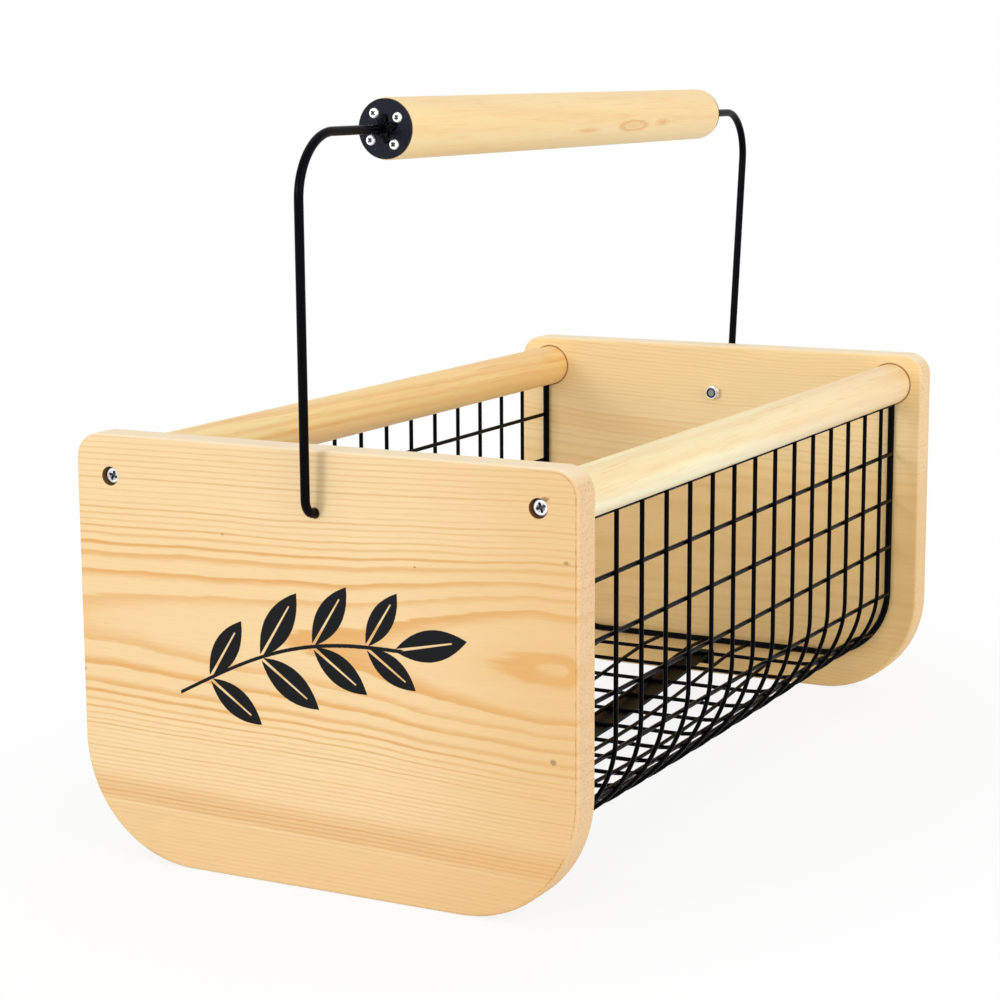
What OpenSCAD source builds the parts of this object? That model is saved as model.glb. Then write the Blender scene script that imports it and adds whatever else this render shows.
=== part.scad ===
// Garden trug: two pine end boards joined by two dowel rails, a welded wire
// mesh bent to a U and hung from the rails, and a swinging bail handle.
// X runs from the front board to the rear board, Y to the left, Z up.
// The origin is on the ground, under the middle of the basket.

/* [End boards] */
// Length over the outer faces of the two end boards
basket_l = 505; // [420:5:600]
// Width of an end board
board_w = 276; // [250:2:320]
// Height of an end board
board_h = 216; // [196:2:250]
// Thickness of an end board
board_t = 18; // [15:0.5:24]
// Radius of the two upper corners
board_top_r = 13; // [6:1:18]
// Radius of the two lower corners
board_low_r = 62; // [40:1:75]
// Rounding along the edges of a board
board_edge_r = 2; // [1:0.5:4]

/* [Rails] */
// Diameter of a dowel rail
rail_d = 25; // [22:1:30]
// Distance from a board's side to the axis of a rail
rail_inset = 20.3; // [18:0.1:30]
// Distance from a board's top to the axis of a rail
rail_drop = 18.5; // [17:0.5:26]

/* [Wire mesh] */
// Diameter of the thin mesh wires
wire_d = 2.4; // [1.6:0.1:2.6]
// Spacing of the bent cross wires
cross_pitch = 29.5; // [24:0.5:40]
// Spacing of the long wires on the right side, measured along the middle cross wire
long_pitch = 29.4; // [24:0.1:32]
// Spacing of the other long wires, under the floor and up the left side
floor_pitch = 30.4; // [24:0.1:32]
// Number of steps with that first spacing
wall_steps = 3; // [2:1:4]
// How far the first long wire is let into the rail's groove
first_wire_lift = 1.4; // [0:0.1:2]
// How far the cross wires sit towards the front board
mesh_shift = 3; // [0:0.5:6]
// How far the cross wires hang outside the axis of a rail
mesh_out = 5.1; // [3:0.1:6.5]
// Height of the mesh floor's cross wires at the boards
mesh_floor_z = 20; // [18:0.5:26]
// How far the floor rises first, between a board and the nearest cross wire
mesh_hump = 5; // [0:0.5:6]
// Corner radius of the mesh where it meets the end hoops
mesh_corner_r = 46; // [40:1:55]
// Corner radius of the mesh halfway between the boards
mesh_mid_r = 74; // [60:1:80]
// How much deeper the floor hangs halfway between the boards, below that rise
mesh_sag = 16.5; // [0:0.5:17]
// Length of each mesh wire end let into a rail
wire_let_in = 4; // [3:0.5:5]
// Diameter of the thick end hoops
hoop_d = 4; // [3:0.5:5]
// How far the hoops' centre line sits inside that of the long wires
hoop_set_in = 1; // [0:0.1:1.5]
// Depth that crossing wires sink into each other at a weld
weld_sink = 0.2; // [0.1:0.05:0.3]
// Depth that the ends of the long wires sink into the hoops
butt_sink = 0.4; // [0.3:0.1:0.8]

/* [Floor strap] */
// Width of the flat steel strap under the mesh floor
strap_w = 19; // [12:1:30]
// Thickness of the strap
strap_t = 2; // [1.5:0.5:2.5]
// Length of the strap over its bent ends
strap_l = 432; // [380:2:450]
// Height of the ends, which are bent down
strap_end_h = 9; // [6:0.5:12]

/* [Bail handle] */
// Diameter of the wooden grip
grip_d = 30; // [26:1:36]
// Length of the wooden grip
grip_l = 379; // [300:1:390]
// Height of the grip's axis above the pivot
grip_rise = 177.5; // [160:0.5:200]
// Rounding at the ends of the grip
grip_edge_r = 0.8; // [0.5:0.1:2]
// How far the bail stands off the upright, towards the right, in degrees
bail_lean = 1.6; // [-4:0.1:4]
// Diameter of the bail rod
rod_d = 4.5; // [4:0.1:6]
// Distance from a board's top to the pivot
pivot_drop = 30; // [26:1:40]
// Radius of the large bend beside the grip
rod_top_r = 29; // [20:1:34]
// Radius of the small bend at the pivot
rod_low_r = 8; // [7:0.5:10]
// Outward lean of the rod's leg, in degrees
rod_lean = 2.9; // [0:0.1:4]
// Diameter of the steel plate on each end of the grip
plate_d = 29; // [24:0.5:29.5]
// Thickness of that plate
plate_t = 1.5; // [1.5:0.5:3]
// Diameter of the circle that the plate's screws stand on
plate_screw_pcd = 18.4; // [16:0.2:19]
// Turn of the plate's four screws away from the diagonals, in degrees
plate_screw_turn = 7; // [0:1:20]

/* [Fasteners] */
// Diameter of the rail screws
rail_screw_d = 4; // [3.5:0.1:4.5]
// Length of the rail screws under the head
rail_screw_l = 45; // [35:1:60]
// Diameter of a rail screw's head
rail_head_d = 8.7; // [7:0.1:8.8]
// Height of a rail screw's head
rail_head_h = 2.4; // [2:0.1:3]
// Diameter of the counterbore around that head
rail_bore_d = 9.4; // [9.2:0.1:10.5]
// Depth of the head's top below the board's face
rail_head_drop = 2.5; // [1:0.5:4]
// How far the screws of the left rail sit below its axis
left_screw_low = 2.3; // [0:0.1:3]
// Diameter of the small screws in the plates
small_screw_d = 3; // [2.5:0.1:3.5]
// Length of the small screws under the head
small_screw_l = 13; // [10:1:14]
// Diameter of a small screw's head
small_head_d = 4.9; // [4.6:0.1:5.4]
// Height of a small screw's head
small_head_h = 1.6; // [1.2:0.1:2]
// Width of a lock nut across its flats
nut_flats = 8; // [7:0.5:10]
// Height of a lock nut with its collar
nut_h = 5; // [4.5:0.5:6]
// Diameter of the round collar that holds a nut's insert
collar_d = 7.4; // [7:0.1:8]

/* [Clearances] */
// Play between the rod and its hole, on the radius
pivot_play = 0.1; // [0.05:0.01:0.1]
// Play around a screw's shank or a let-in wire, on the radius
hole_play = 0.2; // [0.1:0.05:0.4]
// Gap between the swinging handle and a board's faces
swing_gap = 0.4; // [0.3:0.1:1]

/* [Hidden] */
$fn = 48;
half_l = basket_l / 2;
inner_x = half_l - board_t;
rail_y = board_w / 2 - rail_inset;
rail_z = board_h - rail_drop;
pivot_z = board_h - pivot_drop;
eps = 0.01;

// The mesh
mesh_y = rail_y + mesh_out;
mesh_top_z = rail_z - sqrt(pow(rail_d / 2, 2) - pow(mesh_out, 2)) + wire_let_in;
long_in = wire_d - weld_sink;
hoop_in = long_in + hoop_set_in;
hoop_x = inner_x - hoop_d / 2;
long_half_l = hoop_x - hoop_d / 2 + butt_sink;
long_off = mesh_out - long_in;
first_long_z = rail_z - sqrt(pow(rail_d / 2, 2) - pow(long_off, 2)) - wire_d / 2 - hole_play / 2;
cross_side_n = floor((hoop_x - mesh_shift - cross_pitch / 2) / cross_pitch);
cross_xs = [for (i = [-cross_side_n:cross_side_n]) i * cross_pitch - mesh_shift];
long_stations = concat([-long_half_l], cross_xs, [long_half_l]);
long_sides = 8;

// The handle: centres of the rod's two bends, and the straight leg between them
grip_z = pivot_z + grip_rise;
plate_x = grip_l / 2 + plate_t;
low_bend = [half_l + swing_gap, pivot_z + rod_low_r];
bend_step = rod_top_r - rod_low_r;
leg_rise = grip_z - rod_top_r - low_bend[1];
leg_l = (leg_rise - bend_step * sin(rod_lean)) / cos(rod_lean);
top_bend_x = low_bend[0] - bend_step * cos(rod_lean) + leg_l * sin(rod_lean);
top_run_l = top_bend_x - plate_x;
// Bending stretches the rod a hair thinner, and the straight lengths run a little way into it
bend_d = rod_d - 0.02;
bend_lap = 0.2;
nut_face_x = inner_x - swing_gap;
insert_t = 1.3;
rod_end_x = nut_face_x - nut_h + 0.5;
bead_h = 2.4;
bead_r = rod_d / 2 + 1.6;

// How far the screws' crosses are turned
rail_cross_turn = 20;
plate_cross_turn = -plate_screw_turn;

// A length in whole thousandths, so that the ends of joined pieces of wire meet face to face
function whole(l) = round(1000 * l) / 1000;

// 1 halfway between the hoops, 0 at each hoop
function middle(x) = cos(90 * min(abs(x) / hoop_x, 1));

// 0 over most of the length, 1 at each hoop
function end_dip(x) = pow(min(abs(x) / hoop_x, 1), 16);

// Height of the cross wires' floor at x
function floor_z(x) = whole(mesh_floor_z + mesh_hump * (1 - end_dip(x)) - mesh_sag * middle(x));

// Corner radius at x
function corner_r(x) = whole(mesh_corner_r + (mesh_mid_r - mesh_corner_r) * middle(x));

// Lengths of a cross wire's leg below the first long wire, its corner and the whole wire
function leg_len(x) = first_long_z - floor_z(x) - corner_r(x);
function arc_len(x) = PI / 2 * corner_r(x);
function wire_len(x) = 2 * (leg_len(x) + arc_len(x) + mesh_y - corner_r(x));

// The upper part of each leg is straight everywhere, and the belly between them is stretched
wall_len = leg_len(0);
function belly_len(x) = wire_len(x) - 2 * wall_len;

// Place [y, z] at distance s along the right side of a cross wire, moved inwards by inset
function right_point(x, s, inset) =
    let (r = corner_r(x), leg = leg_len(x), arc = arc_len(x), inner = corner_r(x) - inset)
    s <= leg ? [inset - mesh_y, first_long_z - s]
    : s <= leg + arc
        ? let (a = (s - leg) / arc * 90)
            [r - mesh_y - inner * cos(a), floor_z(x) + r - inner * sin(a)]
        : [r - mesh_y + s - leg - arc, floor_z(x) + inset];

// Place at x of the point that lies at distance s along the middle cross wire
function mesh_point(x, s, inset) =
    let (left = wire_len(0) - s, t = wall_len + (s - wall_len) * belly_len(x) / belly_len(0))
    left <= wall_len ? mirrored(right_point(x, left, inset))
    : s <= wall_len ? right_point(x, s, inset)
    : t <= wire_len(x) / 2 ? right_point(x, t, inset)
    : mirrored(right_point(x, wire_len(x) - t, inset));

function mirrored(p) = [-p[0], p[1]];

// Distance of the i-th long wire along the middle cross wire
function long_s(i) =
    i == 0 ? -first_wire_lift : min(i, wall_steps) * long_pitch + max(i - wall_steps, 0) * floor_pitch;
long_n = wall_steps + floor((wire_len(0) - wall_steps * long_pitch) / floor_pitch);

module at_front() { mirror([1, 0, 0]) children(); }
module at_right() { mirror([0, 1, 0]) children(); }

// Points local Z along X, towards the rear
module along_x() { rotate([0, 90, 0]) children(); }

// Edge of a board in section: reach wide, board_t thick, with both outer corners rounded
module edge_section(reach) {
    e = board_edge_r;
    square([reach - e, board_t]);
    translate([0, e]) square([reach, board_t - 2 * e]);
    for (y = [e, board_t - e]) translate([reach - e, y]) circle(e);
}

// Corner of a board, a quarter turn of that section
module board_corner(y, z, r, from) {
    translate([y, z, 0]) rotate([0, 0, from]) rotate_extrude(angle = 90) edge_section(r);
}

// Straight edge of a board, from one corner's centre line to the next
module board_side(y, z, turn, l) {
    translate([y, z, 0]) rotate([0, 0, turn]) rotate([90, 0, 0])
        linear_extrude(height = l, center = true) edge_section(2 * board_edge_r);
}

// A board lying flat: width along X, height along Y, outer face down
module board_blank() {
    e = board_edge_r;
    w = board_w / 2;
    top_y = w - board_top_r;
    low_y = w - board_low_r;
    top_z = board_h - board_top_r;
    side_mid = (top_z + board_low_r) / 2;
    side_l = top_z - board_low_r;
    linear_extrude(height = board_t) polygon([
        [-top_y, board_h - e], [top_y, board_h - e], [top_y, top_z], [w - e, top_z],
        [w - e, board_low_r], [low_y, board_low_r], [low_y, e], [-low_y, e],
        [-low_y, board_low_r], [e - w, board_low_r], [e - w, top_z], [-top_y, top_z]
    ]);
    board_corner(top_y, top_z, board_top_r, 0);
    board_corner(-top_y, top_z, board_top_r, 90);
    board_corner(-low_y, board_low_r, board_low_r, 180);
    board_corner(low_y, board_low_r, board_low_r, 270);
    board_side(0, board_h - 2 * e, 90, 2 * top_y);
    board_side(0, 2 * e, 270, 2 * low_y);
    board_side(w - 2 * e, side_mid, 0, side_l);
    board_side(2 * e - w, side_mid, 180, side_l);
}

// The rear end board, with its screw holes and pivot hole
module rear_end_board() {
    difference() {
        translate([half_l, 0, 0]) rotate([90, 0, 90]) mirror([0, 0, 1]) board_blank();
        for (side = [-1, 1])
            translate([half_l, side * rail_y, rail_z - (side > 0 ? left_screw_low : 0)]) along_x() {
            translate([0, 0, -rail_head_drop - rail_head_h])
                cylinder(d = rail_bore_d, h = board_t);
            translate([0, 0, -board_t - 1])
                cylinder(d = rail_screw_d + 2 * hole_play, h = board_t);
        }
        translate([inner_x - 1, 0, pivot_z]) along_x()
            cylinder(d = rod_d + 2 * pivot_play, h = board_t + 2);
    }
}

// A dowel rail, with a groove for the wires, a notch for each hoop and screw pilots
module left_dowel(screw_low) {
    pilot_l = rail_screw_l - (board_t - rail_head_drop - rail_head_h) + 2;
    groove_half_l = long_half_l + hole_play;
    groove_w = wire_d + long_in + 2 * hole_play;
    difference() {
        translate([-inner_x, rail_y, rail_z]) along_x() cylinder(d = rail_d, h = 2 * inner_x);
        translate([-groove_half_l, mesh_y + wire_d / 2 + hole_play - groove_w, rail_z - rail_d])
            cube([2 * groove_half_l, groove_w, mesh_top_z + hole_play - rail_z + rail_d]);
        for (side = [-1, 1]) {
            translate([side * hoop_x, mesh_y - hoop_in, rail_z - rail_d])
                cylinder(d = hoop_d + 2 * hole_play, h = mesh_top_z + hole_play - rail_z + rail_d);
            translate([side * (inner_x - pilot_l / 2), rail_y, rail_z - screw_low]) along_x()
                cylinder(d = rail_screw_d, h = pilot_l + eps, center = true);
        }
    }
}

// A pan-head screw with a cross recess, its head seated at the origin and standing up Z
module screw(head_d, head_h, shank_d, shank_l) {
    rim = head_h * 0.6;
    slot = [head_d * 0.15, head_d * 0.58, head_h * 0.6];
    difference() {
        union() {
            cylinder(d = head_d, h = rim);
            translate([0, 0, rim]) cylinder(d1 = head_d, d2 = head_d * 0.8, h = head_h - rim);
        }
        for (a = [0, 90]) rotate([0, 0, a]) translate([0, 0, head_h - slot[2] / 2 + eps])
            cube(slot, center = true);
    }
    translate([0, 0, shank_d - shank_l]) cylinder(d = shank_d, h = shank_l - shank_d);
    translate([0, 0, -shank_l]) cylinder(d1 = shank_d / 8, d2 = shank_d, h = shank_d);
}

// A rail screw in the rear board's left counterbore, screw_low below the rail's axis
module rail_screw(screw_low) {
    seat_x = half_l - rail_head_drop - rail_head_h;
    translate([seat_x, rail_y, rail_z - screw_low]) along_x() rotate([0, 0, rail_cross_turn])
        screw(rail_head_d, rail_head_h, rail_screw_d, rail_screw_l);
}

// A quarter bend or less in the YZ plane, around [y, z] at x
module side_bend(x, y, z, r, d, from, sweep) {
    translate([x, y, z]) rotate([90, 0, 90]) rotate([0, 0, from])
        rotate_extrude(angle = sweep) translate([r, 0]) circle(d = d);
}

// A wire bent to a U, its floor at floor_h and its legs up to mesh_top_z
module u_wire(x, half_w, floor_h, r, d) {
    $fn = 16;
    for (side = [-1, 1]) translate([x, side * half_w, floor_h + r])
        cylinder(d = d, h = mesh_top_z - floor_h - r);
    side_bend(x, half_w - r, floor_h + r, r, d, 270, 90);
    side_bend(x, r - half_w, floor_h + r, r, d, 180, 90);
    translate([x, 0, floor_h]) rotate([90, 0, 0])
        cylinder(d = d, h = 2 * (half_w - r), center = true);
}

// A long wire: a tube through its place on every cross wire
module long_wire(s) {
    n = long_sides;
    last = len(long_stations) - 1;
    points = [
        for (x = long_stations)
            let (p = mesh_point(x, s, long_in))
            for (k = [0:n - 1])
                let (a = 360 * (k + 0.5) / n)
                [x, p[0] + wire_d / 2 * cos(a), p[1] + wire_d / 2 * sin(a)]
    ];
    sides = [
        for (i = [0:last - 1])
            for (k = [0:n - 1])
                let (a = i * n + k, b = i * n + (k + 1) % n)
                each [[a, a + n, b], [b, a + n, b + n]]
    ];
    ends = [
        for (k = [1:n - 2])
            each [[0, k, k + 1], [last * n, last * n + k + 1, last * n + k]]
    ];
    polyhedron(points = points, faces = concat(sides, ends));
}

// A long wire that stays in the legs of every cross wire is a plain straight rod
module straight_wire(s) {
    p = mesh_point(0, s, long_in);
    translate([-long_half_l, p[0], p[1]]) along_x() cylinder(d = wire_d, h = 2 * long_half_l);
}

// Height of the strap's upper face at x, welded under the cross wires
function strap_z(x) = floor_z(x) - wire_d / 2 + weld_sink;

// The strap: along the cross wires' floor, with both ends bent down
module strap_plate() {
    end_x = strap_l / 2;
    end_z = strap_z(end_x);
    inner_end_x = end_x - strap_t;
    low_z = end_z - strap_end_h;
    xs = [for (x = cross_xs) if (abs(x) < inner_end_x) x];
    top = [for (x = xs) [x, strap_z(x)]];
    under = [for (i = [len(xs) - 1:-1:0]) [xs[i], strap_z(xs[i]) - strap_t]];
    rotate([90, 0, 0]) linear_extrude(height = strap_w, center = true) polygon(concat(
        [[-end_x, end_z]], top,
        [[end_x, end_z], [end_x, low_z], [inner_end_x, low_z], [inner_end_x, end_z - strap_t]],
        under,
        [[-inner_end_x, end_z - strap_t], [-inner_end_x, low_z], [-end_x, low_z]]
    ));
}

// Places its children at the four screws of the rear plate, on the plate's outer face
module at_plate_screws() {
    for (i = [0:3]) translate([plate_x, 0, grip_z]) along_x()
        rotate([0, 0, 45 + plate_screw_turn + 90 * i]) translate([plate_screw_pcd / 2, 0, 0])
            children();
}

// The turned grip, with pilots for the plate screws in both ends
module grip_body() {
    e = grip_edge_r;
    r = grip_d / 2;
    pilot_l = small_screw_l - plate_t + 1;
    difference() {
        translate([-grip_l / 2, 0, grip_z]) along_x() rotate_extrude() {
            square([r - e, grip_l]);
            translate([0, e]) square([r, grip_l - 2 * e]);
            for (z = [e, grip_l - e]) translate([r - e, z]) circle(e);
        }
        plate_pilots(pilot_l);
        at_front() plate_pilots(pilot_l);
    }
}

module plate_pilots(l) {
    at_plate_screws() translate([0, 0, -plate_t - l]) cylinder(d = small_screw_d, h = l + 1);
}

module grip_plate() {
    difference() {
        translate([grip_l / 2, 0, grip_z]) along_x() cylinder(d = plate_d, h = plate_t);
        at_plate_screws() translate([0, 0, -plate_t - 1])
            cylinder(d = small_screw_d + 2 * hole_play, h = plate_t + 2);
    }
}

// A bend of the rod in the XZ plane, turning from one angle through sweep
module rod_bend(r, from, sweep) {
    rotate([90, 0, 0]) rotate([0, 0, from])
        rotate_extrude(angle = sweep) translate([r, 0]) circle(d = bend_d);
}

// The upper end of the rod, from the centre of its large bend to the plate
module rod_top() {
    rod_bend(rod_top_r, 0, 90 + rod_lean);
    rotate([0, -rod_lean, 0]) translate([-top_run_l, 0, rod_top_r]) along_x() {
        cylinder(d = rod_d, h = top_run_l + bend_lap);
        cylinder(r1 = bead_r, r2 = rod_d / 2, h = bead_h);
    }
}

// The rear rod: out of the plate, down beside the board and in through the pivot hole
module bail_rod() {
    translate([low_bend[0], 0, low_bend[1]]) rotate([0, rod_lean, 0]) {
        rod_bend(rod_low_r, rod_lean - 90, 90 - rod_lean);
        translate([rod_low_r, 0, -bend_lap]) cylinder(d = rod_d, h = leg_l + 2 * bend_lap);
        translate([-bend_step, 0, leg_l]) rod_top();
    }
    translate([rod_end_x, 0, pivot_z]) along_x()
        cylinder(d = rod_d, h = low_bend[0] + bend_lap - rod_end_x);
}

// A hexagonal lock nut on the rod's end, its round collar facing into the basket
module lock_nut() {
    hex_d = nut_flats / cos(30);
    hex_h = nut_h - insert_t;
    translate([nut_face_x, 0, pivot_z]) along_x() mirror([0, 0, 1]) difference() {
        union() {
            intersection() {
                cylinder(d = hex_d, h = hex_h, $fn = 6);
                union() {
                    cylinder(d = hex_d, h = hex_h * 0.75);
                    translate([0, 0, hex_h * 0.75])
                        cylinder(d1 = hex_d, d2 = nut_flats, h = hex_h * 0.25);
                }
            }
            cylinder(d = collar_d, h = nut_h);
        }
        translate([0, 0, -1]) cylinder(d = rod_d, h = nut_h + 2);
        translate([0, 0, hex_h]) cylinder(d = collar_d - 1, h = insert_t + 1);
    }
}

// The soft locking ring in the nut's collar
module nut_insert() {
    translate([nut_face_x - nut_h, 0, pivot_z]) along_x() difference() {
        cylinder(d = collar_d - 1, h = insert_t);
        translate([0, 0, -1]) cylinder(d = rod_d, h = insert_t + 2);
    }
}

module front_board() { color("burlywood") at_front() rear_end_board(); }
module rear_board() { color("burlywood") rear_end_board(); }
module left_rail() { color("wheat") left_dowel(left_screw_low); }
module right_rail() { color("wheat") at_right() left_dowel(0); }
module rail_screw_front_left() { color("silver") at_front() rail_screw(left_screw_low); }
module rail_screw_front_right() { color("silver") at_front() at_right() rail_screw(0); }
module rail_screw_rear_left() { color("silver") rail_screw(left_screw_low); }
module rail_screw_rear_right() { color("silver") at_right() rail_screw(0); }

module cross_wires() {
    color([0.08, 0.08, 0.09]) for (x = cross_xs)
        u_wire(x, mesh_y, floor_z(x), corner_r(x), wire_d);
}

module long_wires() {
    color([0.10, 0.10, 0.11]) for (i = [0:long_n]) {
        s = long_s(i);
        straight = min(s, wire_len(0) - s) <= wall_len;
        if (straight) straight_wire(s);
        if (!straight) long_wire(s);
    }
}

module end_hoop() {
    u_wire(hoop_x, mesh_y - hoop_in, mesh_floor_z + hoop_in, mesh_corner_r - hoop_in, hoop_d);
}

module end_hoop_front() { color([0.06, 0.06, 0.07]) at_front() end_hoop(); }
module end_hoop_rear() { color([0.06, 0.06, 0.07]) end_hoop(); }

module floor_strap() { color([0.09, 0.09, 0.10]) strap_plate(); }

// The bail as it stands, turned around its pivots
module leaned() {
    translate([0, 0, pivot_z]) rotate([bail_lean, 0, 0]) translate([0, 0, -pivot_z]) children();
}

module grip() { color("navajowhite") leaned() grip_body(); }
module grip_plate_front() { color([0.12, 0.13, 0.16]) leaned() at_front() grip_plate(); }
module grip_plate_rear() { color([0.12, 0.13, 0.16]) leaned() grip_plate(); }

module plate_screws() {
    at_plate_screws() rotate([0, 0, plate_cross_turn])
        screw(small_head_d, small_head_h, small_screw_d, small_screw_l);
}

module grip_screws_front() { color("silver") leaned() at_front() plate_screws(); }
module grip_screws_rear() { color("silver") leaned() plate_screws(); }
module bail_rod_front() { color([0.07, 0.07, 0.08]) leaned() at_front() bail_rod(); }
module bail_rod_rear() { color([0.07, 0.07, 0.08]) leaned() bail_rod(); }
module lock_nut_front() { color("lightgray") leaned() at_front() lock_nut(); }
module lock_nut_rear() { color("lightgray") leaned() lock_nut(); }
module nut_insert_front() { color("dimgray") leaned() at_front() nut_insert(); }
module nut_insert_rear() { color("dimgray") leaned() nut_insert(); }

front_board();
rear_board();
left_rail();
right_rail();
rail_screw_front_left();
rail_screw_front_right();
rail_screw_rear_left();
rail_screw_rear_right();
cross_wires();
long_wires();
end_hoop_front();
end_hoop_rear();
floor_strap();
grip();
grip_plate_front();
grip_plate_rear();
grip_screws_front();
grip_screws_rear();
bail_rod_front();
bail_rod_rear();
lock_nut_front();
lock_nut_rear();
nut_insert_front();
nut_insert_rear();
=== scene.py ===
import math

import bmesh
import bpy
from mathutils import Matrix, Vector


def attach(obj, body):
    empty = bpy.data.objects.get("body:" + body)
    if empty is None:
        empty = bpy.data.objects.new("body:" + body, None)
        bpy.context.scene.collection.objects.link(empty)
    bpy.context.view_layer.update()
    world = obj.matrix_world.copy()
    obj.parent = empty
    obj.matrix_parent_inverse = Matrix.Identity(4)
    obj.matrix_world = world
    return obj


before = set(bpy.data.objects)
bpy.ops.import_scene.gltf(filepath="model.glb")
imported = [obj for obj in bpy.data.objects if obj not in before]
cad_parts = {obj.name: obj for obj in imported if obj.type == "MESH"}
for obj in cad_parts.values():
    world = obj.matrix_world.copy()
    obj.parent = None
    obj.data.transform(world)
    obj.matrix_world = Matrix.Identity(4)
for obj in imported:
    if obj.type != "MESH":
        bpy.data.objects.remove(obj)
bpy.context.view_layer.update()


# Shader maths

class Value:
    """A shader socket that takes part in ordinary arithmetic."""

    def __init__(self, finish, socket):
        self.finish = finish
        self.socket = socket

    def maths(self, operation, *terms):
        return self.finish.node("ShaderNodeMath", {"operation": operation}, list(terms))

    def __add__(self, other):
        return self.maths("ADD", self, other)

    def __radd__(self, other):
        return self.maths("ADD", other, self)

    def __sub__(self, other):
        return self.maths("SUBTRACT", self, other)

    def __rsub__(self, other):
        return self.maths("SUBTRACT", other, self)

    def __mul__(self, other):
        return self.maths("MULTIPLY", self, other)

    def __rmul__(self, other):
        return self.maths("MULTIPLY", other, self)

    def __truediv__(self, other):
        return self.maths("DIVIDE", self, other)

    def __rtruediv__(self, other):
        return self.maths("DIVIDE", other, self)

    def __pow__(self, other):
        return self.maths("POWER", self, other)

    def __abs__(self):
        return self.maths("ABSOLUTE", self)

    def fraction(self):
        return self.maths("FRACT", self)

    def floor(self):
        return self.maths("FLOOR", self)

    def least(self, other):
        return self.maths("MINIMUM", self, other)

    def most(self, other):
        return self.maths("MAXIMUM", self, other)

    def ramp(self, start, end):
        """0 up to start, 1 from end on, and a smooth step between; end may be below start."""
        return self.finish.node("ShaderNodeMapRange", {"interpolation_type": "SMOOTHSTEP"},
                                {"Value": self, "From Min": start, "From Max": end})


class Finish:
    """A material, built from expressions on the object's own coordinates."""

    def __init__(self, name):
        self.material = bpy.data.materials.new(name)
        self.material.use_nodes = True
        self.tree = self.material.node_tree
        self.tree.nodes.clear()
        self.shader = self.tree.nodes.new("ShaderNodeBsdfPrincipled")
        surface = self.tree.nodes.new("ShaderNodeOutputMaterial")
        self.tree.links.new(self.shader.outputs[0], surface.inputs["Surface"])
        place = self.tree.nodes.new("ShaderNodeTexCoord")
        self.place = Value(self, place.outputs["Object"])
        self.facing = Value(self, place.outputs["Normal"])

    def node(self, kind, settings=None, inputs=None, output=0):
        """Adds a node, applies its settings, fills its sockets, and gives one output as a Value."""
        made = self.tree.nodes.new(kind)
        for key, setting in (settings or {}).items():
            setattr(made, key, setting)
        pairs = inputs.items() if isinstance(inputs, dict) else enumerate(inputs or [])
        for key, value in pairs:
            self.feed(made.inputs[key], value)
        return Value(self, made.outputs[output])

    def feed(self, socket, value):
        if isinstance(value, Value):
            self.tree.links.new(value.socket, socket)
        else:
            socket.default_value = value

    def axes(self, vector=None):
        """The x, y and z of a vector, by default of the place on the object."""
        parts = self.node("ShaderNodeSeparateXYZ", None, [vector or self.place])
        outputs = parts.socket.node.outputs
        return tuple(Value(self, outputs[i]) for i in range(3))

    def vector(self, x, y, z):
        return self.node("ShaderNodeCombineXYZ", None, [x, y, z])

    def noise(self, x, y, z, detail=2.0, roughness=0.5):
        """Soft noise around 0, about -0.5 to 0.5, with a grain of 1 in the given coordinates."""
        return self.node("ShaderNodeTexNoise", None, {
            "Vector": self.vector(x, y, z), "Scale": 1.0, "Detail": detail, "Roughness": roughness,
        }) - 0.5

    def mix(self, amount, first, second, blend="MIX"):
        """A colour between first and second."""
        return self.node("ShaderNodeMix", {"data_type": "RGBA", "blend_type": blend},
                         {"Factor": amount, 6: first, 7: second}, output=2)

    def dot(self, vector, other):
        """The dot product of a vector and three numbers."""
        return self.node("ShaderNodeVectorMath", {"operation": "DOT_PRODUCT"}, [vector, other], output=1)

    def sine(self, angle):
        return angle.maths("SINE", angle)

    def bump(self, height, depth, strength=1.0):
        """A normal that follows a height of 0 to 1, where 1 stands for depth metres."""
        return self.node("ShaderNodeBump", None,
                         {"Strength": strength, "Distance": depth, "Height": height})

    def surface(self, **sockets):
        """Feeds the shader's sockets, named with underscores for spaces."""
        for key, value in sockets.items():
            self.feed(self.shader.inputs[key.replace("_", " ")], value)
        return self.material


def shade(code):
    """The linear colour of a hexadecimal display colour, such as "ffe0b3"."""
    parts = [int(code[i:i + 2], 16) / 255 for i in (0, 2, 4)]
    return tuple(((c + 0.055) / 1.055) ** 2.4 if c > 0.04045 else c / 12.92 for c in parts) + (1.0,)


# Pine

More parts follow.
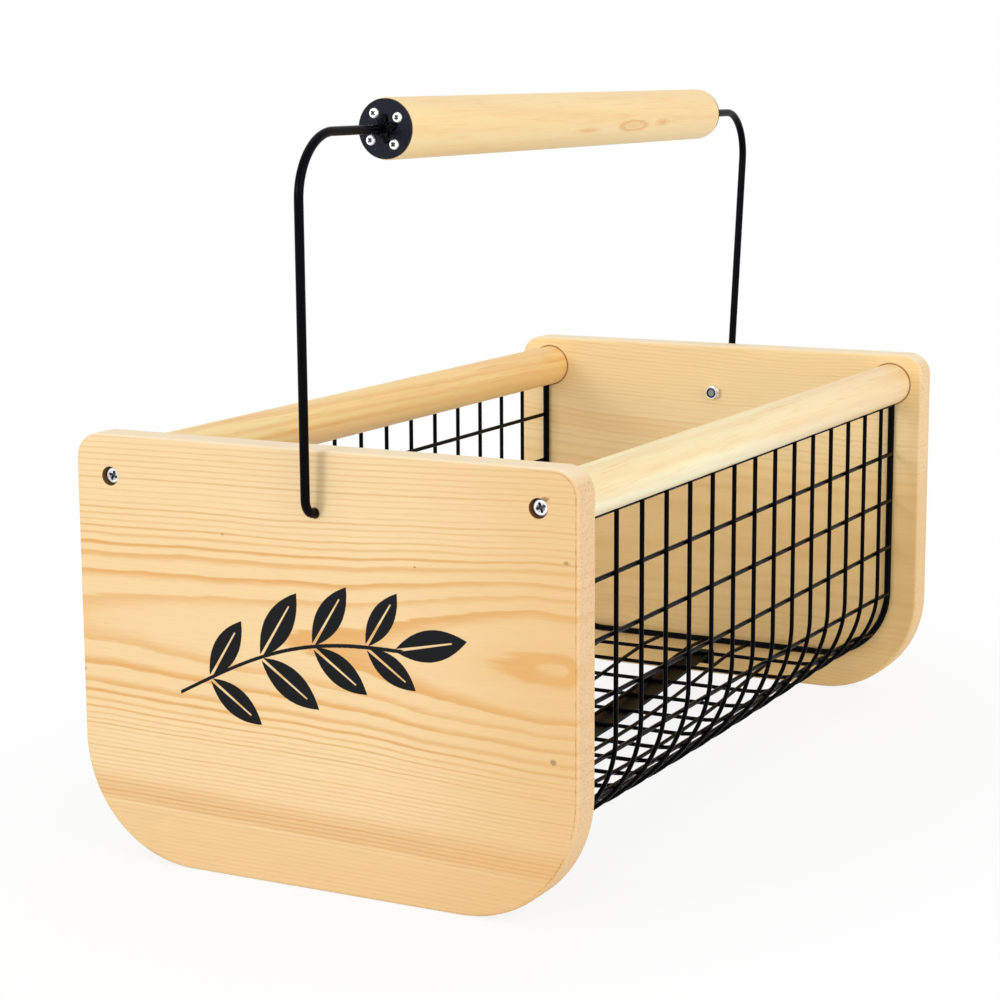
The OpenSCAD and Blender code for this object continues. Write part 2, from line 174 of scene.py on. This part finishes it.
class Pine(Finish):
    """Sawn or turned pine, with its growth rings as a function of the place in the piece.

    along is the axis that the fibres follow. run is the place along it, and across and depth
    are the places on the two others: for a board, its height and its thickness.
    """

    def __init__(self, name, along):
        super().__init__(name)
        x, y, z = self.axes()
        nx, ny, nz = self.axes(self.facing)
        self.run, self.across, self.depth = {"X": (x, y, z), "Y": (y, z, x)}[along]
        self.end_grain = abs({"X": nx, "Y": ny}[along]).ramp(0.35, 0.9)
        self.level = nz.ramp(0.35, 0.9)
        self.face = abs({"X": nz, "Y": nx}[along])

    def gap(self, place, height, squash=1.0):
        """The distance to a point of the face, where squash below 1 draws it out along the grain."""
        return ((self.run - place) ** 2 * squash + (self.across - height) ** 2) ** 0.5

    def bend(self, waves, amount):
        """A slow wander of the grain, waves per metre along it."""
        return self.noise(self.run * waves, self.across * waves * 2, self.depth * 9, 1.5) * amount

    def rings(self, heart, reach, pace):
        """The number of years from the heart, which lies at the height heart, reach below the face.

        reach is squared. pace lists (distance from the heart, width of a year from there on).
        """
        height = self.across - heart
        radius = (height * height + reach) ** 0.5
        years = radius / pace[0][1]
        for (before, wide), (start, narrow) in zip(pace, pace[1:]):
            years = years + (radius - start).most(0.0) * (1 / narrow - 1 / wide)
        hair = self.noise(self.run * 55, self.across * 650, self.depth * 650, 2.0, 0.6)
        return years + hair * 0.22, height

    def late_wood(self, years, sharp=0.12, start=0.35):
        """How much of each year's dark late wood shows, from 0 to 1, some years stronger."""
        part = years.fraction()
        vigour = self.noise(years.floor() * 3.7, 0.5, 0.5, 0.0) * 1.3 + 0.75
        return part.ramp(start, 1.0 - sharp) * part.ramp(1.0, 1.0 - sharp) * vigour

    def sawn(self, colour, dark, late, fibre=0.13, pores=0.16, rough=0.5, top_light=0.88):
        """Adds fibres, pores and painted light on the upward faces, which makes them paler, to the colour, and
        gives the surface.
        """
        run, across, depth = self.run, self.across, self.depth
        strand = self.noise(run * 34, across * 1300, depth * 1300, 3.0, 0.65)
        fleck = self.noise(run * 110, across * 1900, depth * 1900, 1.0).ramp(0.17, 0.26)
        speckle = self.noise(run * 700, across * 1300, depth * 1300, 2.0, 0.7)
        colour = self.mix(fleck * pores, colour, late)
        colour = self.mix(self.end_grain * 0.5, colour, shade("fbdcb0"))
        colour = self.mix(self.end_grain * speckle.ramp(-0.04, 0.20) * 0.45, colour, shade("c08c64"))
        # Painted light: faces that look up are mixed towards a paler colour for the light from above.
        colour = self.mix(self.level * top_light, colour, shade("ffeac6"))
        light = strand * fibre + 1.0
        colour = self.mix(1.0, colour, self.vector(light, light, light), blend="MULTIPLY")
        height = 0.5 + strand * 0.5 + dark * 0.3 - fleck * 0.4 + self.end_grain * speckle * 0.6
        return colour, {
            "Roughness": (rough - dark * 0.06 + self.end_grain * 0.18 + strand * 0.08).least(0.9),
            "Normal": self.bump(height, 0.00010, 0.5),
        }


def sprig():
    """The leaves of a printed sprig: place, height, slope in degrees, length and width in metres."""
    leaves = []
    for i in range(STEM_PAIRS):
        part = (i + 0.35) / STEM_PAIRS
        place = STEM_START[0] + (STEM_END[0] - STEM_START[0]) * part
        height = stem_height(place)
        size = 1.0 - 0.38 * abs(part - 0.35)
        for side in (1, -1):
            slope = 180 - 12 - side * 46
            leaves.append((place, height, slope, LEAF_L * size, LEAF_W * size))
    leaves.append((STEM_END[0] + 0.004, stem_height(STEM_END[0]), 180 - 12, LEAF_L, LEAF_W))
    return leaves


def stem_height(place):
    """The height of the sprig's stem, which bows upwards, at a place along the board."""
    part = (place - STEM_START[0]) / (STEM_END[0] - STEM_START[0])
    return STEM_START[1] + (STEM_END[1] - STEM_START[1]) * part + 0.010 * math.sin(math.pi * part)


def print_mask(pine):
    """1 where the sprig is printed on the front board's face, with slightly rough edges."""
    ragged = pine.noise(pine.run * 900, pine.across * 900, pine.depth * 900, 2.0) * 0.00035
    flat = pine.vector(pine.run, pine.across, 0.0)
    ink = None
    for place, height, slope, length, width in sprig():
        c, s = math.cos(math.radians(slope)), math.sin(math.radians(slope))
        tip = pine.dot(flat, (c / length, s / length, 0.0)) - (place * c + height * s) / length
        side = abs(pine.dot(flat, (-s, c, 0.0)) - (height * c - place * s))
        edge = tip * (1.0 - tip) * (2.0 * width) - side
        leaf = (edge + ragged).ramp(0.0, 0.0003)
        rib = (side + tip * 0.0005).ramp(0.0006, 0.0009).most(tip.ramp(0.78, 0.80))
        leaf = leaf * rib
        ink = leaf if ink is None else ink.most(leaf)
    span = STEM_END[0] - STEM_START[0]
    part = (pine.run - STEM_START[0]) / span
    bow = pine.sine(part * math.pi) * 0.010
    centre = part * (STEM_END[1] - STEM_START[1]) + STEM_START[1] + bow
    stem = (0.0011 - abs(pine.across - centre) + ragged).ramp(0.0, 0.0003)
    stem = stem * (part + 0.06).ramp(0.0, 0.002) * (1.0 - part).ramp(-0.02, 0.0)
    return ink.most(stem) * (pine.depth * -1.0).ramp(0.2520, 0.2523)


def front_board_pine():
    """The front board: a broad flame at the middle of its height, fine straight grain above and below."""
    pine = Pine("front board pine", "Y")
    run, across = pine.run, pine.across
    height = across - FLAME_Z
    calm = abs(height).ramp(0.075, 0.015)
    wander = pine.bend(11, 0.008) * (calm * 0.8 + 0.2) + pine.bend(37, 0.0026) * (calm * 0.8 + 0.2)
    heart = wander + FLAME_Z
    reach = (run * 0.0023 + 0.000640).least(run * 0.0063 + 0.000735).most(0.0)
    years, height = pine.rings(heart, reach, [(0, 0.0120), (0.026, 0.0066), (0.046, 0.0037),
                                              (0.054, 0.0027)])
    years = years - 0.25 + (height * -1.0 - 0.052).most(0.0) * 110
    fine = abs(height).ramp(0.030, 0.050)
    first_year = (height * height + reach).ramp(0.00021, 0.00031)
    dark = pine.late_wood(years, 0.10, 0.46) * (1.0 - fine) + pine.late_wood(years, 0.26, 0.46) * fine
    dark = dark * first_year

    broad = abs(height).ramp(0.062, 0.030)
    low = height.ramp(-0.045, -0.062)
    cloud = pine.noise(run * 5, across * 18, pine.depth * 16, 2.0)
    colour = pine.mix((cloud * 1.2 + 0.45).most(0.0).least(1.0), shade("eed3a5"), shade("eaca98"))
    colour = pine.mix(broad * 0.55, colour, shade("ebca97"))
    late = pine.mix(broad, shade("d2a366"), shade("d99c4d"))
    top = height.ramp(0.042, 0.058)
    amount = dark * (0.70 + broad * 0.25 - low * 0.16 - top * 0.20)
    colour = pine.mix(amount.least(1.0), colour, late)

    fray = pine.noise(run * 50, across * 420, pine.depth * 420, 2.0) * 0.0040
    beyond = run - CORE[0] + wander * 0.6
    core = (beyond.most(0.0) ** 2 * 0.055 + beyond.least(0.0) ** 2 * 0.8
            + (across - CORE[1] + wander * 0.3) ** 2) ** 0.5 + fray
    glow = core.ramp(0.0092, 0.0060) * core.ramp(0.0018, 0.0048) + core.ramp(0.0140, 0.0050) * 0.25
    colour = pine.mix(glow.least(1.0) * 0.70, colour, shade("dc9a46"))

    band = (across - run * 0.030 + pine.bend(14, 0.004) - 0.0300)
    heavy = band.ramp(-0.0045, -0.0010) * band.ramp(0.016, 0.002)
    colour = pine.mix(heavy * (0.42 + dark * 0.4), colour, shade("d39f62"))
    colour = pine.mix(band.ramp(-0.003, -0.006) * 0.6, colour, shade("e3bd88"))
    pale_side = run.ramp(-0.02, -0.14)
    colour = pine.mix(pale_side * 0.46, colour, shade("dbad6e"))

    wave = pine.noise(run * 300, across * 300, pine.depth * 300, 2.0)
    for place, level, radius in FRONT_SPECKS:
        gap = pine.gap(place, level, 0.5) + wave * 0.0030
        colour = pine.mix(gap.ramp(radius * 1.3, radius * 0.2) * 0.60, colour, shade("7d5d38"))
    arris = pine.face.ramp(0.998, 0.985) * pine.face.ramp(0.93, 0.97)
    dashes = pine.noise(run * 500, across * 260, pine.depth * 500, 2.0).ramp(-0.10, 0.15) * 0.55 + 0.30
    colour = pine.mix(arris * run.ramp(-0.10, -0.135) * dashes, colour, shade("a87a4c"))
    torn = pine.gap(CHIP[0], CHIP[1], 0.45) + wave * 0.0022
    colour = pine.mix(torn.ramp(0.0016, 0.0007) * 0.8, colour, shade("86663a"))
    colour, sockets = pine.sawn(colour, dark, shade("d5a66e"))
    colour = paint_hollow_shade(pine, colour)
    ink = print_mask(pine)
    colour = pine.mix(ink, colour, shade("040508"))
    return pine.surface(Base_Color=colour, Specular_IOR_Level=0.16, **sockets)


def paint_hollow_shade(pine, colour):
    """Paints shade on the walls of the counterbores and of the rod's hole, and a contact shadow round the
    rails' ends.
    """
    inside = abs(pine.depth).ramp(0.2350, 0.2347)
    # Painted contact shadow round each rail's end on the inner face.
    for side in (1, -1):
        rail_contact_shadow = pine.gap(side * RAIL_Y, RAIL_Z).ramp(0.0138, 0.0128)
        colour = pine.mix(rail_contact_shadow * inside * 0.85, colour, shade("7a4a20"))
    # Painted shade on the counterbores' walls round the rail screws.
    for place, level in RAIL_SCREWS:
        colour = pine.mix(pine.gap(place, level).ramp(0.00487, 0.00469) * 0.95, colour, shade("64400f"))
    # Painted shade in the rod's hole.
    colour = pine.mix(pine.gap(0.0, PIVOT_Z).ramp(0.0030, 0.0026) * 0.9, colour, shade("6b4a28"))
    return colour


def rear_board_pine():
    """The rear board: paler fine grain at the top, broad faint bands below, and painted shade low down and at
    its outer right part.
    """
    pine = Pine("rear board pine", "Y")
    run, across = pine.run, pine.across
    heart = 0.096 + run * 0.030 + pine.bend(9, 0.011) + pine.bend(33, 0.0022)
    reach = (0.00042 - run * 0.0016).most(0.0)
    years, height = pine.rings(heart, reach, [(0, 0.0140), (0.030, 0.0075), (0.054, 0.0033),
                                              (0.074, 0.0024)])
    dark = pine.late_wood(years, 0.25, 0.30)
    broad = abs(height).ramp(0.070, 0.035)
    cloud = pine.noise(run * 5, across * 16, pine.depth * 16, 2.0)
    colour = pine.mix((cloud * 1.2 + 0.45).most(0.0).least(1.0), shade("ffe3ab"), shade("fbd99d"))
    # Painted shade: the lower part of the inner face is mixed towards a darker tan for the shade inside the
    # basket.
    low = across.ramp(0.165, 0.120)
    colour = pine.mix(low * 0.75, colour, shade("f2cb87"))
    late = pine.mix(low, shade("edc07f"), shade("dfac63"))
    colour = pine.mix((dark * (0.40 + broad * 0.05 - low * 0.16)).least(1.0), colour, late)
    amber = pine.noise(run * 4, across * 42, pine.depth * 40, 1.5).ramp(0.06, 0.24)
    colour = pine.mix(amber * low * 0.34, colour, shade("e2a75f"))
    tan = abs(across - TAN_BAND - run * 0.06 + cloud * 0.012).ramp(0.009, 0.002) * run.ramp(-0.03, 0.06)
    colour = pine.mix(tan * 0.20, colour, shade("e7a44c"))
    # Painted shade: the outer right part of the board, beyond the hoop, is darkened.
    colour = pine.mix(run.ramp(-0.118, -0.130) * 0.22, colour, late)
    colour, sockets = pine.sawn(colour, dark, shade("dfab68"))
    colour = paint_hollow_shade(pine, colour)
    return pine.surface(Base_Color=colour, Specular_IOR_Level=0.35, **sockets)


def dowel_pine(name, early, stain, late, painted_underside, heart, pace, streaks, strength, axis_z,
               tanned=(1.0, 1.1), knots=()):
    """Turned pine: long faint figures along the dowel, an underside painted in its own colour for the light and
    shade it gets, and small tight knots.

    tanned gives the places along the dowel between which its colour deepens.
    """
    pine = Pine(name, "X")
    run, across, depth = pine.run, pine.across, pine.depth
    off_across = across - heart[0] + pine.noise(run * 5, across * 20, depth * 20, 1.5) * 0.012
    off_depth = depth - heart[1] + run * 0.02
    years = (off_across * off_across + off_depth * off_depth) ** 0.5 / pace
    swirl = None
    ripple = pine.noise(run * 120, across * 400, depth * 400, 2.0)
    for place, side, level, radius, squash, edge, fill in knots:
        gap = ((run - place) ** 2 * squash + (across - side) ** 2 + (depth - level) ** 2) ** 0.5
        gap = gap + ripple * radius * 0.35
        years = years + gap.ramp(radius * 2.6, 0.0) * 0.8
        ring = gap.ramp(radius * 1.25, radius * 0.95) * gap.ramp(radius * 0.50, radius * 0.85) * edge
        heart_wood = gap.ramp(radius * 1.2, radius * 0.2) * fill
        mark = ring.most(heart_wood)
        swirl = mark if swirl is None else swirl.most(mark)
    dark = pine.late_wood(years, 0.25, 0.2)
    streak = pine.noise(run * 6, across * 150, depth * 150, 2.0).ramp(0.02, 0.22)
    cloud = pine.noise(run * 7, across * 60, depth * 60, 2.0)
    colour = pine.mix((cloud * 1.5 + 0.45).most(0.0).least(1.0), early, stain)
    # Painted light and shade: below axis_z the dowel is mixed towards the underside colour, paler where the
    # floor lights it and darker where it is shaded, and its grain fades there.
    underside_shading = (depth - axis_z + cloud * 0.012).ramp(0.004, -0.004)
    colour = pine.mix(underside_shading * 0.8, colour, painted_underside)
    hair = pine.noise(run * 30, across * 850, depth * 850, 2.0, 0.6).ramp(0.0, 0.24)
    colour = pine.mix(run.ramp(*tanned) * 0.85, colour, stain)
    colour = pine.mix((dark * strength * (1.0 - underside_shading * 0.6)).least(1.0), colour, late)
    colour = pine.mix((streak * streaks + hair * 0.42) * (1.0 - underside_shading * 0.45), colour, late)
    if swirl is not None:
        colour = pine.mix(swirl * 0.66, colour, shade("eba24a"))
    colour, sockets = pine.sawn(colour, dark, late, fibre=0.075, pores=0.10, rough=0.46, top_light=0.0)
    return pine.surface(Base_Color=colour, Specular_IOR_Level=0.35, **sockets)


# Coated and plated steel

def black_coat(name, colour, roughness, gloss, speckle=0.0, bare=0.0):
    """Black powder coat with a fine orange-peel surface, and dust specks if wanted.

    At the height of the pivot the steel is uncoated within bare metres from the basket's middle.
    """
    finish = Finish(name)
    x, y, z = finish.axes()
    peel = finish.noise(x * 900, y * 900, z * 900)
    patch = finish.noise(x * 60, y * 60, z * 60)
    dust = finish.noise(x * 1500, y * 1500, z * 1500, 1.0).ramp(0.16, 0.30)
    lighter = tuple(c * 1.7 for c in colour[:3]) + (1.0,)
    coat = finish.mix((patch + 0.5).least(1.0), colour, lighter)
    if bare:
        cut = abs(x).ramp(bare + 0.0001, bare - 0.0001) * z.ramp(PIVOT_Z + 0.006, PIVOT_Z + 0.005)
        coat = finish.mix(cut, coat, shade("979a96"))
    return finish.surface(
        Base_Color=finish.mix(dust * speckle, coat, shade("7c7f88")),
        Roughness=roughness + patch * 0.12,
        Normal=finish.bump(peel + 0.5, 0.00003, 0.7),
        Specular_IOR_Level=gloss,
    )


def zinc(name, colour, roughness):
    """Bright zinc plate, a little mottled."""
    finish = Finish(name)
    x, y, z = finish.axes()
    mottle = finish.noise(x * 700, y * 700, z * 700, 3.0)
    return finish.surface(
        Base_Color=finish.mix((mottle + 0.5).least(1.0), colour, shade("ffffff")),
        Metallic=0.7,
        Roughness=roughness + mottle * 0.15,
        Normal=finish.bump(mottle + 0.5, 0.00002, 0.5),
    )


def recessed_zinc(name, tops, recess, places):
    """Zinc screw heads, with painted shade in the cross recess.

    tops is the distance of the heads' tops from the middle of the basket, recess the radius of the
    cross, and places the (y, z) of the screws' axes.
    """
    finish = Finish(name)
    x, y, z = finish.axes()
    mottle = finish.noise(x * 700, y * 700, z * 700, 3.0)
    below = abs(x).ramp(tops - 0.00006, tops - 0.00030)
    near = None
    for place, level in places:
        gap = ((y - place) ** 2 + (z - level) ** 2) ** 0.5
        inside = gap.ramp(recess * 1.08, recess * 0.98)
        near = inside if near is None else near.most(inside)
    recess_blot = None
    for place, level in places:
        gap = ((y - place) ** 2 + (z - level) ** 2) ** 0.5
        blot = gap.ramp(recess * 1.00, recess * 0.72)
        recess_blot = blot if recess_blot is None else recess_blot.most(blot)
    # Painted shade: the cross recess and a mottled blot over it are darkened and made duller.
    recess_shade = (below * near).most(recess_blot * mottle.ramp(-0.12, 0.05) * 0.86)
    plate = finish.mix((mottle + 0.5).least(1.0), shade("e9ebee"), shade("ffffff"))
    return finish.surface(
        Base_Color=finish.mix(recess_shade * 0.93, plate, shade("202320")),
        Metallic=0.62 - recess_shade * 0.5,
        Roughness=0.34 + mottle * 0.15 + recess_shade * 0.3,
        Normal=finish.bump(mottle + 0.5, 0.00002, 0.4),
    )


def nylon(name):
    """The dull dark plastic of a lock nut's ring."""
    finish = Finish(name)
    x, y, z = finish.axes()
    grain = finish.noise(x * 1500, y * 1500, z * 1500)
    return finish.surface(
        Base_Color=finish.mix((grain + 0.5).least(1.0), shade("15161a"), shade("24262b")),
        Roughness=0.45 + grain * 0.1,
        Normal=finish.bump(grain + 0.5, 0.00002, 0.5),
        Specular_IOR_Level=0.3,
    )


def dress(material, *nodes):
    """Gives CAD nodes a finish, in place of the plain one in their material slots."""
    for node in nodes:
        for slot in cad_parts[node].material_slots:
            slot.material = material


# Places in the CAD, in metres
RAIL_Y, RAIL_Z = 0.1177, 0.1975
RAIL_SCREWS = [(0.1177, 0.1952), (-0.1177, 0.1975)]
PIVOT_Z = 0.186
PLATE_X = 0.1910
GRIP_Y, GRIP_Z = -0.00496, 0.36343
PLATE_SCREW_R, PLATE_SCREW_TURN = 0.0092, 53.6
PLATE_SCREWS = [(GRIP_Y + PLATE_SCREW_R * math.sin(math.radians(PLATE_SCREW_TURN + 90 * i)),
                 GRIP_Z - PLATE_SCREW_R * math.cos(math.radians(PLATE_SCREW_TURN + 90 * i)))
                for i in range(4)]

# Specks in the front board: place, height and radius
FRONT_SPECKS = [(-0.1316, 0.1738, 0.0013), (0.0525, 0.1716, 0.0008), (-0.0540, 0.1650, 0.0005),
                (-0.1250, 0.0810, 0.0014), (0.1380, 0.0960, 0.0012)]

# The front board's flame: the height of its middle line, and the place and height of its core
FLAME_Z = 0.1234
CORE = (-0.1295, 0.1240)

# The height of the rear board's tan band
TAN_BAND = 0.1560

# Where the front board's wood is torn, beside the right screw
CHIP = (-0.1212, 0.2018)

# The printed sprig: its stem's two ends, the pairs of leaves, and a leaf's size
STEM_START, STEM_END = (0.072, 0.094), (-0.046, 0.124)
STEM_PAIRS = 4
LEAF_L, LEAF_W = 0.040, 0.0155

dress(front_board_pine(), "front_board")
dress(rear_board_pine(), "rear_board")
dress(dowel_pine("right rail pine", shade("fff6c4"), shade("ffe0ac"), shade("f2c483"),
                 shade("fffad6"), axis_z=0.1975, tanned=(-0.05, 0.20), heart=(-0.138, 0.216), pace=0.0072, streaks=0.30, strength=0.55), "right_rail")
dress(dowel_pine("left rail pine", shade("fff0b5"), shade("ffd68d"), shade("efb064"),
                 shade("fad095"), axis_z=0.1975, tanned=(-0.18, 0.20), heart=(0.112, 0.228), pace=0.0058, streaks=0.30, strength=0.60), "left_rail")
dress(dowel_pine("grip pine", shade("ffe6ab"), shade("ffdb9d"), shade("f5c17a"),
                 shade("ffe6b0"), axis_z=0.3600, heart=(0.010, 0.330), pace=0.0062, streaks=0.16, strength=0.26,
                 knots=[(0.0655, -0.0188, 0.3595, 0.0031, 0.030, 0.85, 0.45),
                        (0.1050, -0.0190, 0.3605, 0.0022, 0.048, 0.45, 0.95),
                        (0.0060, -0.0186, 0.3580, 0.0018, 0.012, 0.20, 0.75),
                        (-0.1400, -0.0180, 0.3585, 0.0015, 0.008, 0.05, 0.65)]),
      "grip")

mesh_coat = black_coat("mesh coat", (0.0010, 0.0010, 0.0012, 1.0), 0.26, 0.040)
rod_coat = black_coat("rod coat", (0.0008, 0.0008, 0.0018, 1.0), 0.28, 0.045, bare=0.2335)
plate_coat = black_coat("plate coat", (0.0052, 0.0064, 0.0135, 1.0), 0.42, 0.09, speckle=0.30)
strap_coat = black_coat("strap coat", (0.0016, 0.0012, 0.0009, 1.0), 0.40, 0.045)
dress(mesh_coat, "cross_wires", "long_wires", "end_hoop_front", "end_hoop_rear")
dress(rod_coat, "bail_rod_front", "bail_rod_rear")
dress(plate_coat, "grip_plate_front", "grip_plate_rear")
dress(strap_coat, "floor_strap")

rail_zinc = recessed_zinc("rail screw zinc", 0.2500, 0.00260, RAIL_SCREWS)
dress(rail_zinc, "rail_screw_front_left", "rail_screw_front_right", "rail_screw_rear_left",
      "rail_screw_rear_right")
plate_zinc = recessed_zinc("plate screw zinc", 0.1926, 0.00148, PLATE_SCREWS)
dress(plate_zinc, "grip_screws_front", "grip_screws_rear")
dress(zinc("nut zinc", shade("d9dce2"), 0.28), "lock_nut_front", "lock_nut_rear")
dress(nylon("insert nylon"), "nut_insert_front", "nut_insert_rear")


# The welds that join the rods to the plates

def weld(name, side):
    """A rough star of weld metal round the rod's foot, on the outer face of a plate."""
    shape = bmesh.new()
    bmesh.ops.create_uvsphere(shape, u_segments=48, v_segments=16, radius=1.0)
    for vert in shape.verts:
        turn = math.atan2(vert.co.y, vert.co.x)
        lobes = 0.26 * math.cos(4 * turn + 0.5) + 0.12 * math.cos(7 * turn + 1.9) + 0.07 * math.cos(11 * turn)
        ripple = 0.10 * math.sin(9 * turn + 6 * vert.co.z)
        flat = WELD_R * (1.0 + lobes + ripple)
        vert.co = Vector((vert.co.x * flat, vert.co.y * flat,
                          vert.co.z * WELD_H * (1.0 + 0.35 * math.cos(4 * turn + 0.5))))
    upright = Matrix.Rotation(math.radians(90), 4, "Y")
    bmesh.ops.transform(shape, matrix=Matrix.Translation((side * PLATE_X, GRIP_Y, GRIP_Z)) @ upright,
                        verts=shape.verts)
    bmesh.ops.recalc_face_normals(shape, faces=shape.faces)
    for face in shape.faces:
        face.smooth = True
    mesh = bpy.data.meshes.new(name)
    shape.to_mesh(mesh)
    shape.free()
    mesh.materials.append(weld_coat)
    piece = bpy.data.objects.new(name, mesh)
    bpy.context.scene.collection.objects.link(piece)
    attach(piece, "handle")


WELD_R, WELD_H = 0.0056, 0.0026
weld_coat = black_coat("weld coat", (0.0006, 0.0007, 0.0014, 1.0), 0.24, 0.06, speckle=0.20)
weld("weld_front", -1)
weld("weld_rear", 1)


# Floor, light and camera

def seen(tree):
    """1 for what the camera sees, also in a mirror or through glass, and 0 for light on the object."""
    ray = tree.nodes.new("ShaderNodeLightPath")
    total = ray.outputs["Is Camera Ray"]
    for kind in ("Is Glossy Ray", "Is Transmission Ray"):
        both = tree.nodes.new("ShaderNodeMath")
        both.operation = "MAXIMUM"
        tree.links.new(total, both.inputs[0])
        tree.links.new(ray.outputs[kind], both.inputs[1])
        total = both.outputs[0]
    return total


def backdrop():
    """A wide white floor that keeps a soft shadow near the object."""
    mesh = bpy.data.meshes.new("floor")
    shape = bmesh.new()
    bmesh.ops.create_grid(shape, x_segments=2, y_segments=2, size=8.0)
    shape.to_mesh(mesh)
    shape.free()
    floor = bpy.data.objects.new("floor", mesh)
    bpy.context.scene.collection.objects.link(floor)
    finish = Finish("floor white")
    x, y, z = finish.axes()
    tooth = finish.noise(x * 40, y * 40, z * 40)
    finish.surface(
        Base_Color=finish.mix((tooth + 0.5).least(1.0), (0.96, 0.96, 0.96, 1), (0.98, 0.98, 0.98, 1)),
        Roughness=0.9,
        Specular_IOR_Level=0.1,
    )
    away = (x * x + y * y * 2.0) ** 0.5
    plain = Value(finish, seen(finish.tree)) * (away.ramp(0.28, 0.55) * 0.16 + 0.84)
    glow = finish.node("ShaderNodeEmission", None, {"Color": (1.0, 1.0, 1.0, 1.0), "Strength": 1.0})
    both = finish.node("ShaderNodeMixShader", None, [plain, Value(finish, finish.shader.outputs[0]), glow])
    surface = finish.tree.nodes["Material Output"]
    finish.tree.links.new(both.socket, surface.inputs["Surface"])
    mesh.materials.append(finish.material)


def sky(level):
    """Plain light from all round, seen as white by the camera."""
    world = bpy.data.worlds.new("studio")
    bpy.context.scene.world = world
    world.use_nodes = True
    tree = world.node_tree
    tree.nodes.clear()
    strength = tree.nodes.new("ShaderNodeMath")
    strength.operation = "MULTIPLY_ADD"
    tree.links.new(seen(tree), strength.inputs[0])
    strength.inputs[1].default_value = 1.0 - level
    strength.inputs[2].default_value = level
    glow = tree.nodes.new("ShaderNodeBackground")
    glow.inputs["Color"].default_value = (1.0, 1.0, 1.0, 1.0)
    tree.links.new(strength.outputs[0], glow.inputs["Strength"])
    out = tree.nodes.new("ShaderNodeOutputWorld")
    tree.links.new(glow.outputs[0], out.inputs["Surface"])


def softbox(name, place, target, size, power):
    """A large square lamp that faces its target."""
    lamp = bpy.data.lights.new(name, "AREA")
    lamp.shape = "SQUARE"
    lamp.size = size
    lamp.energy = power
    holder = bpy.data.objects.new(name, lamp)
    bpy.context.scene.collection.objects.link(holder)
    aim = Vector(target) - Vector(place)
    holder.matrix_world = Matrix.Translation(place) @ aim.to_track_quat("-Z", "Y").to_matrix().to_4x4()


def camera(place, yaw, pitch, roll, focal_px, image_px=1000):
    """A camera at place, turned yaw degrees from +X towards +Y and pitch degrees down."""
    lens = bpy.data.cameras.new("photo camera")
    lens.sensor_width = 36.0
    lens.lens = focal_px / image_px * lens.sensor_width
    lens.clip_end = 50.0
    holder = bpy.data.objects.new("photo camera", lens)
    bpy.context.scene.collection.objects.link(holder)
    holder.matrix_world = (
        Matrix.Translation(place)
        @ Matrix.Rotation(math.radians(yaw - 90), 4, "Z")
        @ Matrix.Rotation(math.radians(90 - pitch), 4, "X")
        @ Matrix.Rotation(math.radians(roll), 4, "Z")
    )
    bpy.context.scene.camera = holder


backdrop()
sky(0.68)
CENTRE = (0.0, 0.0, 0.15)
softbox("key", (-1.95, 0.62, 0.62), CENTRE, 0.5, 10.4)
softbox("fill", (-0.9, -2.2, 0.9), CENTRE, 1.6, 14.7)
softbox("top", (-0.2, 0.1, 2.3), CENTRE, 1.8, 5)
camera((-1.2221, -0.6044, 0.3918), yaw=27.558, pitch=9.954, roll=-0.267, focal_px=2461)

bpy.context.scene.view_settings.view_transform = "Standard"
